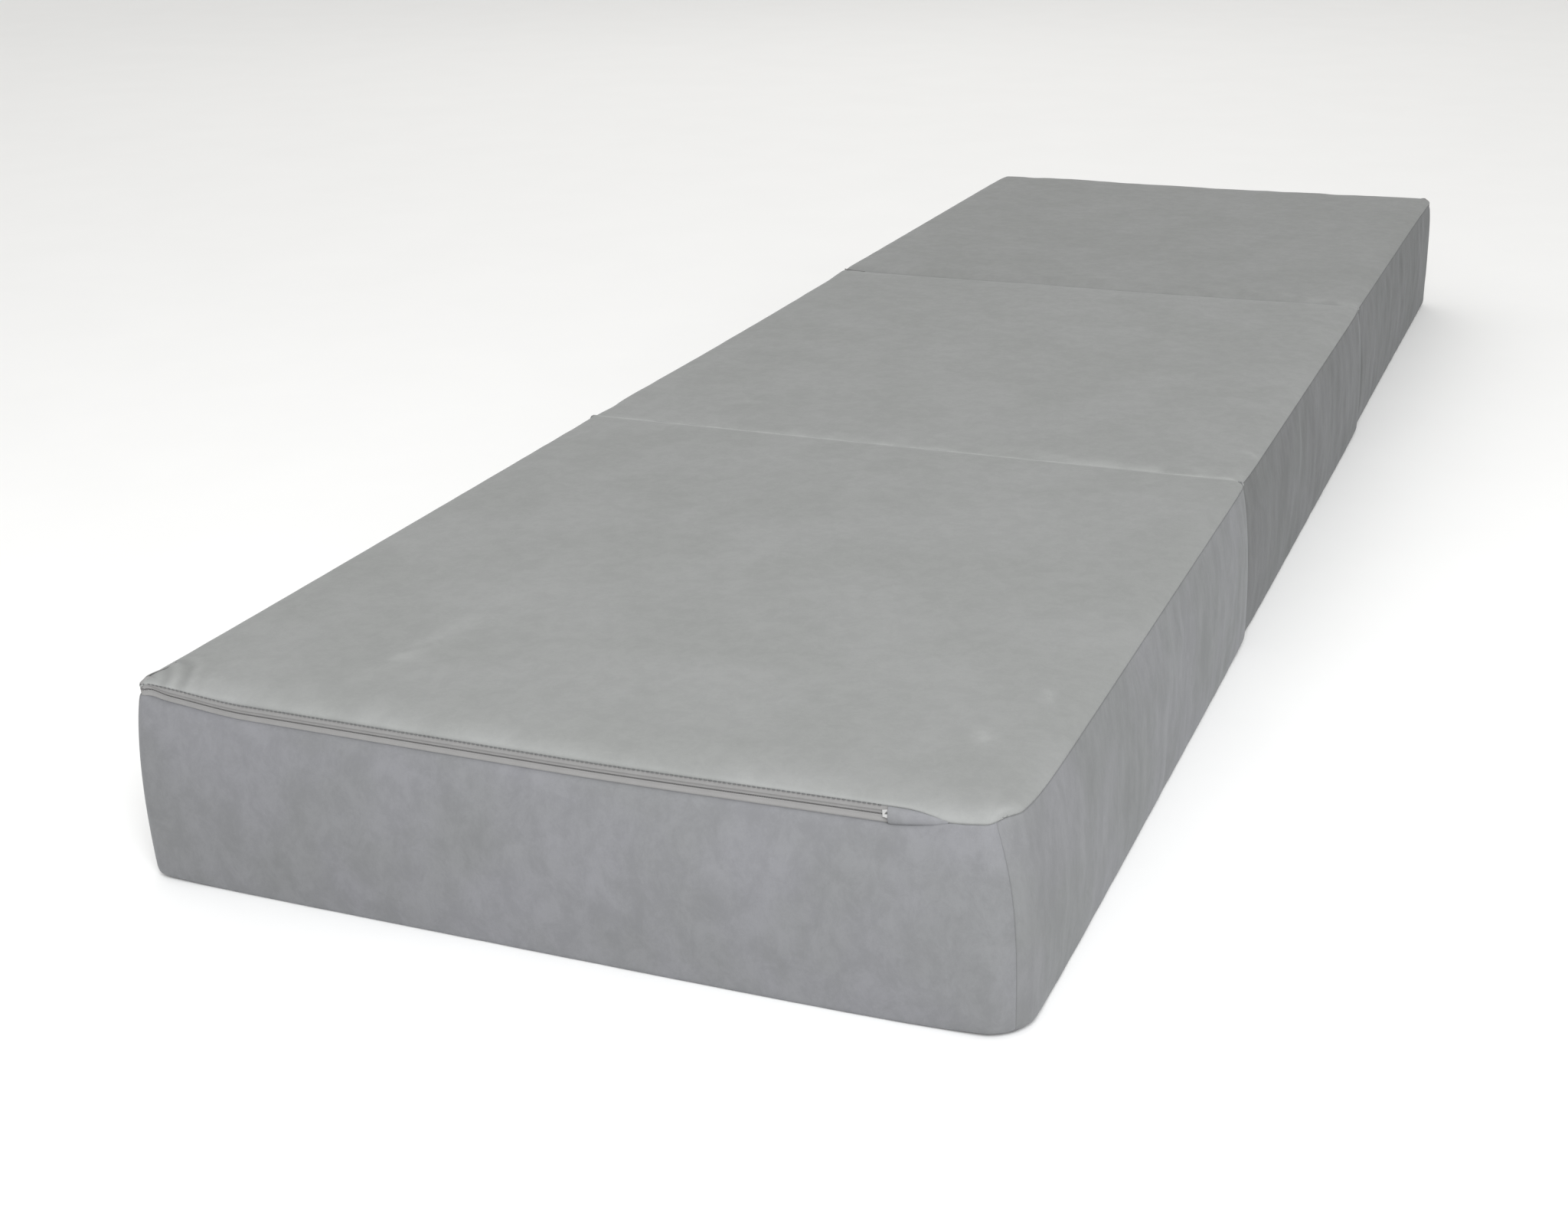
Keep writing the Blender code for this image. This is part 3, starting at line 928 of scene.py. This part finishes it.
def beads(name, stacks, material, flip=False):
    """Many small closed shapes in one piece, each a stack of rings of points."""
    rows, count = stacks[0].shape[:2]
    quads = []
    for row in range(rows - 1):
        for i in range(count):
            a, b = row * count + i, row * count + (i + 1) % count
            quads.append((a, b, b + count, a + count))
    quads += [tuple(range(count))[::-1], tuple(range((rows - 1) * count, rows * count))]
    faces = []
    for number in range(len(stacks)):
        first = number * rows * count
        faces += [tuple(first + k for k in (quad[::-1] if flip else quad)) for quad in quads]
    return new_object(name, np.concatenate(stacks), faces, material)


def zip_coil(name, cover, wall, upper, material):
    """One coil: a row of rounded teeth that lean over the zip line."""
    pitch = 0.0016
    start, end = -0.342, 0.246
    way = 1.0 if upper else -1.0
    ring = circle(8)
    sizes = ((-0.00055, 0.45), (-0.0003, 0.9), (0.0006, 1.0), (0.0013, 0.85), (0.0016, 0.4))
    teeth = []
    for centre in np.arange(start, end - pitch, pitch) + (0.0 if upper else pitch / 2):
        rings = []
        for across, share in sizes:
            u = centre + ring[:, 0] * pitch * 0.36 * share + across * 0.25
            depth = tape_depth(u, 0.0, upper) + 0.0005 + ring[:, 1] * 0.00045 * share
            z = ZIP_LINE + zip_sag(u) + way * (across * 0.55 + 0.0002)
            rings.append(cover.on_wall(wall, u, z, -depth))
        teeth.append(np.stack(rings))
    return beads(name, teeth, material, flip=not upper)


def stitches(name, cover, wall, height, out, material):
    """A row of separate stitches: short tapered lengths of thread that dip at each end."""
    start, end, pitch, long, thick = -0.318, 0.238, 0.0034, 0.0024, 0.00028
    ring = circle(6)
    shape = ((0, 0.3, -0.0003), (0.15, 0.9, 0), (0.5, 1, 0.00018), (0.85, 0.9, 0), (1, 0.3, -0.0003))
    row = []
    for number in range(int((end - start) / pitch)):
        rings = []
        for along, share, lift in shape:
            u = np.full(len(ring), start + number * pitch + long * along)
            z = height(u) + ring[:, 0] * thick * share
            rings.append(cover.on_wall(wall, u, z, out + lift + ring[:, 1] * thick * share))
        row.append(np.stack(rings))
    return beads(name, row, material, flip=True)


def garage(name, cover, wall, material):
    """The pocket over the zip's closed end: puffed cloth, open towards the slider."""
    shape = cover.walls[wall]
    u = spaced(GARAGE_START, GARAGE_END - 0.0004, (0.0003, 0.0005, 0.0008), 0.0018)
    v = spaced(0.0, 1.0, (0.02, 0.04, 0.06), 0.08)
    high, low = shape.panel_edge(u) + 0.0007, shape.border_edge(u) - 0.0007
    z = low[None] + (high - low)[None] * v[:, None]
    tuck = shape.edge_tuck(u)[None] + 0.0004
    puff = np.sin(math.pi * v)[:, None] ** 0.42
    closing = 1 - smooth_step(along_garage(u)[None], 0.72, 1.0) * 0.75
    mouth = 1 - 0.25 * quarter_round((u - GARAGE_START)[None] / 0.0022)
    out = -tuck + (tuck + 0.0002) * puff * closing * mouth
    grid = cover.on_wall(wall, u, z, out)
    edge = np.minimum(v, 1 - v)[:, None] * (high - low)[None]
    edge = np.minimum(edge, (u - GARAGE_START)[None] + 0.0006)
    # The puffed pocket is painted paler, a painted highlight where it swells towards the light.
    return add_sheet(name, grid, material, 0.0008, {"edge": edge + 0.0004, "lay": 0.35 + 0 * edge})


# --- Folds and foam


def fold_strip(name, y, x_low, x_high, z, top, material):
    """The sewn strip that joins two sections, with both edges tucked in between them."""
    x = np.linspace(x_low, x_high, 121)
    out = np.array([0.0008, 0.0015, 0.0026, 0.005, 0.008])
    under = np.array([0.0001, 0.0003, 0.0009, 0.0024, 0.0034])
    across = np.concatenate([-out[::-1], [0.0], out])
    under = np.concatenate([under[::-1], [0.0002], under])
    gx, gy = np.meshgrid(x, across)
    gz = z - (1 if top else -1) * under[:, None] + 0.00012 * ripple(gx, gy, 0.03, 71)
    grid = np.stack([gx, gy + y, gz], -1)
    return add_sheet(name, grid, material, 0.0006, {"edge": np.full(gx.shape, 0.02)}, flip=not top)


def rounded_block(name, low, high, radius, material):
    """A foam block with soft edges, as a closed grid of cells."""
    low, high = np.array(low), np.array(high)
    counts = [max(3, round((b - a) / FOAM_CELL)) for a, b in zip(low, high)]
    lines = [np.linspace(a, b, n + 1) for a, b, n in zip(low, high, counts)]
    points, faces, index = [], [], {}

    def number(i, j, k):
        if (i, j, k) not in index:
            p = np.array([lines[0][i], lines[1][j], lines[2][k]])
            core = np.clip(p, low + radius, high - radius)
            size = np.linalg.norm(p - core)
            index[i, j, k] = len(points)
            points.append(core + (p - core) / size * radius if size > radius else p)
        return index[i, j, k]

    for axis in range(3):
        a, b = [n for n in range(3) if n != axis]
        for side in (0, counts[axis]):
            outward = (side > 0) == (axis != 1)
            for i, j in np.ndindex(counts[a], counts[b]):
                corners = []
                for di, dj in ((0, 0), (1, 0), (1, 1), (0, 1)):
                    at = [side] * 3
                    at[a], at[b] = i + di, j + dj
                    corners.append(number(*at))
                faces.append(tuple(corners if outward else corners[::-1]))
    return new_object(name, points, faces, material)


# --- Assembly


def finish_piece(piece, body, node):
    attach(piece, body)
    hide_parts(node)


def add_cover(section, cover, materials):
    body = f"{section}_section"
    cell_x, cell_y, steps = 0.0085, 0.0085, EDGE_STEPS
    if section == "foot":
        cell_x, cell_y, steps = 0.0042, 0.007, FOOT_EDGE_STEPS
    faces = cover_grids(cover, cell_x, cell_y, 0.0085, steps, WALL_STEPS)
    swell(faces, settle(cover))
    crease_top(section, faces["top"])
    for name in WALLS:
        crease_wall(section, name, faces[name])
    for name, face in faces.items():
        node = f"{section}_{name}_panel" if name in ("top", "bottom") else f"{section}_{name}_border"
        material = materials[cloth_of(section, name)]
        marks = {"edge": face["edge"] + without_line(section, name), "lay": pile_and_painted_light(section, name, face)}
        piece = add_sheet(f"{node}_cloth", face["grid"], material, marks=marks, flip=name != "top")
        finish_piece(piece, body, node)


def without_line(section, name):
    """Added to the distance from a seam where the seam gets no line of painted shade."""
    return 0.0012 if section != "foot" or name in ("top", ZIP_WALL[section]) else 0.0


def pile_and_painted_light(section, name, face):
    """How much paler (above 0) or darker a panel is painted, partly for its pile's lie and partly as painted
    light and shade: painted highlight on the rolled edges beside the zip, beside the borders' seams and at
    each fold, paler and darker bands over creases, more of it towards the right where the light falls, and
    painted shade over the head's top and towards the left of the foot's end border.
    """
    grid, rows = face["grid"], face["rows"]
    x, y = grid[..., 0], grid[..., 1]
    if name != "top":
        # Painted shade: the foot's end border darker towards its left, away from the light. Painted
        # highlight along each border's seams, where the cloth rolls.
        darker = 0.22 * (1 - smooth_step(x, -0.33, 0.15)) if (section, name) == ("foot", "near") else 0.0
        return 0.12 * np.exp(-face["edge"] / 0.006) - darker
    away = (rows - rows[0])[:, None]
    patchy = 0.5 + 0.5 * np.clip(ripple(x, y, 0.045, 81), -1, 1)
    # Painted light: the tops' pale bands grow towards the right, where the light falls.
    rightwards = smooth_step(x, -0.28, 0.25)
    if section == "foot":
        # Painted highlight on the rolled edge beside the zip and before the fold; painted light and shade
        # across the corner's folds and along the ridge.
        beside_zip = 0.6 * np.exp(-away / 0.014) * (0.6 + 0.4 * patchy)
        before_fold = 0.4 * np.exp(-(rows[-1] - rows)[:, None] / 0.003)
        return beside_zip + before_fold + 0.45 * corner_fan(x, y) + 0.25 * long_ridge(x, y) * patchy
    # Painted highlight where the cloth rises out of the fold behind; for the middle also a patch at its
    # right-hand end and a thin line right at the fold.
    near_fold = np.exp(-away / 0.01) + 0.5 * np.exp(-((away - 0.01) / 0.012) ** 2)
    if section == "middle":
        end_patch = 0.9 * np.exp(-((x - 0.3) / 0.03) ** 2 - (away / 0.016) ** 2)
        line = 0.35 * np.exp(-away / 0.003)
        return 0.6 * near_fold * patchy * (0.2 + 0.8 * rightwards) + end_patch * patchy + line
    # Painted light on a crease band across the head's top, and painted shade over all of it, further from
    # the light.
    crease = np.exp(-((away - 0.035 * (1 - (x / 0.32) ** 2)) / 0.006) ** 2)
    return (0.25 * near_fold + 0.35 * crease) * patchy * (0.35 + 0.65 * rightwards) - 0.26


def cloth_of(section, face):
    """Which copy of the cloth a panel gets: upright borders are painted darker than the top as painted
    shade, and the middle's and head's sides darker still, partly for their pile's lie.
    """
    if face == "top":
        return "top"
    if face in ("near", "bottom"):
        return "end"
    return "side" if section == "foot" else "side_dark"


def add_zip(section, cover, materials):
    wall, body = ZIP_WALL[section], f"{section}_section"
    for upper in (True, False):
        half = "upper" if upper else "lower"
        tape = zip_tape(f"{section}_zip_{half}_tape_weave", cover, wall, upper, materials["tape"])
        finish_piece(tape, body, f"{section}_zip_{half}_tape")
        coil = zip_coil(f"{section}_zip_{half}_coil_teeth", cover, wall, upper, materials["coil"])
        finish_piece(coil, body, f"{section}_zip_{half}_coil")
    pocket = garage(f"{section}_zip_garage_pocket", cover, wall, materials["end"])
    finish_piece(pocket, body, f"{section}_zip_garage")
    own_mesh(pocket)
    shape = cover.walls[wall]
    for name, height, out in (("upper", lambda u: shape.panel_edge(u) + 0.0008, -0.0026),
                              ("lower", lambda u: shape.border_edge(u) - 0.0014, -0.002)):
        row = stitches(f"{section}_zip_{name}_stitches", cover, wall, height, out, materials["thread"])
        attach(row, body)


def add_foams(section, cover, materials):
    x0, x1, y0, y1 = cover.rect
    y0, y1 = y0 + cover.centre, y1 + cover.centre
    layers = (("base", 0.012, 0.003, HEIGHT - 0.0525, 0.02, 1.0),
              ("relief", 0.01, HEIGHT - 0.0515, HEIGHT - 0.003, 0.014, 0.9))
    for layer, inset, low, high, radius, fill in layers:
        node = f"{section}_{layer}_foam"
        piece = rounded_block(f"{node}_block", (x0 + inset, y0 + inset, low), (x1 - inset, y1 - inset, high),
                              radius, materials[f"{layer}_foam"])
        finish_piece(piece, f"{section}_section", node)


def add_fold_strips(covers, materials):
    for name, before, after, top in (("top_fold_seam", "foot", "middle", True),
                                     ("bottom_fold_seam", "middle", "head", False)):
        first, second = covers[before], covers[after]
        y = (first.centre + first.rect[3] + second.centre + second.rect[2]) / 2
        x_low = max(first.rect[0], second.rect[0]) + 0.004
        x_high = min(first.rect[1], second.rect[1]) - 0.004
        edge = first.walls["far"].seam if top else first.walls["far"].base[1]
        z = edge + 0.0003 if top else edge - 0.0001
        strip = fold_strip(f"{name}_strip", y, x_low, x_high, z, top, materials["strip"])
        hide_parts(name)
        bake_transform(strip)


def dress_metal(nodes, material):
    """The sliders and pulls keep their CAD shapes, with their edges eased."""
    for section in SECTIONS:
        for part in ("slider", "pull"):
            node = nodes[f"{section}_zip_{part}"]
            node.data.materials.clear()
            node.data.materials.append(material)
            ease = node.modifiers.new("eased_edges", "BEVEL")
            ease.width = 0.00014
            ease.segments = 2
            ease.limit_method = "ANGLE"


def make_materials():
    # Paler marks on the tops, painted highlights partly for pile lying the other way: along the foot's
    # ridge, near its right-hand corner and just beyond the first fold.
    marks = (
        ((0.269, -0.874, HEIGHT), (0.014, 0.022, 0.05), 0.3, 0.55),
        ((0.291, -0.804, HEIGHT), (0.01, 0.02, 0.05), 0.2, 0.45),
        ((0.314, -0.248, HEIGHT), (0.014, 0.01, 0.05), 0.0, 0.55),
        ((-0.165, -0.87, HEIGHT), (0.016, 0.085, 0.05), -0.12, 0.35),
        ((-0.19, -0.24, HEIGHT), (0.035, 0.012, 0.05), 0.3, 0.3),
    )
    upright = (1, 1, 0.4)
    return {
        # One cloth in lit and shaded copies: end and side borders painted darker than the top as painted
        # shade on upright faces, the middle's and head's sides darker still, partly for their pile's lie,
        # and the fold strip paler as a painted highlight along the folds.
        "top": suede("suede_top", (0.243, 0.248, 0.243), (0.248, 0.252, 0.249),
                     mottled=0.035, patches=marks),
        "end": suede("suede_end", (0.191, 0.194, 0.199), (0.196, 0.197, 0.209), 0.03, 0.07, (0.8, 1, 0.6)),
        "side": suede("suede_side", (0.185, 0.189, 0.19), (0.19, 0.191, 0.199), 0.03, 0.06, upright, 0.03),
        "side_dark": suede("suede_side_pile_and_shade", (0.125, 0.128, 0.126), (0.131, 0.132, 0.134), 0.04, 0.06,
                           upright, 0.05),
        "strip": suede("suede_fold", (0.31, 0.318, 0.31), (0.317, 0.323, 0.319)),
        "tape": woven_tape("zip_tape_twill", (0.224, 0.22, 0.218)),
        "coil": nylon("zip_coil_nylon", (0.12, 0.117, 0.117)),
        "metal": plated_metal("zip_metal_nickel"),
        "thread": thread("sewing_thread", (0.117, 0.117, 0.121)),
        "relief_foam": foam("relief_foam_cells", (0.78, 0.76, 0.66), 0.0016),
        "base_foam": foam("base_foam_cells", (0.62, 0.66, 0.7), 0.0022),
    }


def main():
    make_camera()
    make_studio()
    make_floor()
    materials = make_materials()
    covers = make_covers()
    for section in SECTIONS:
        add_foams(section, covers[section], materials)
        add_cover(section, covers[section], materials)
        add_zip(section, covers[section], materials)
    add_fold_strips(covers, materials)
    dress_metal(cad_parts, materials["metal"])


main()
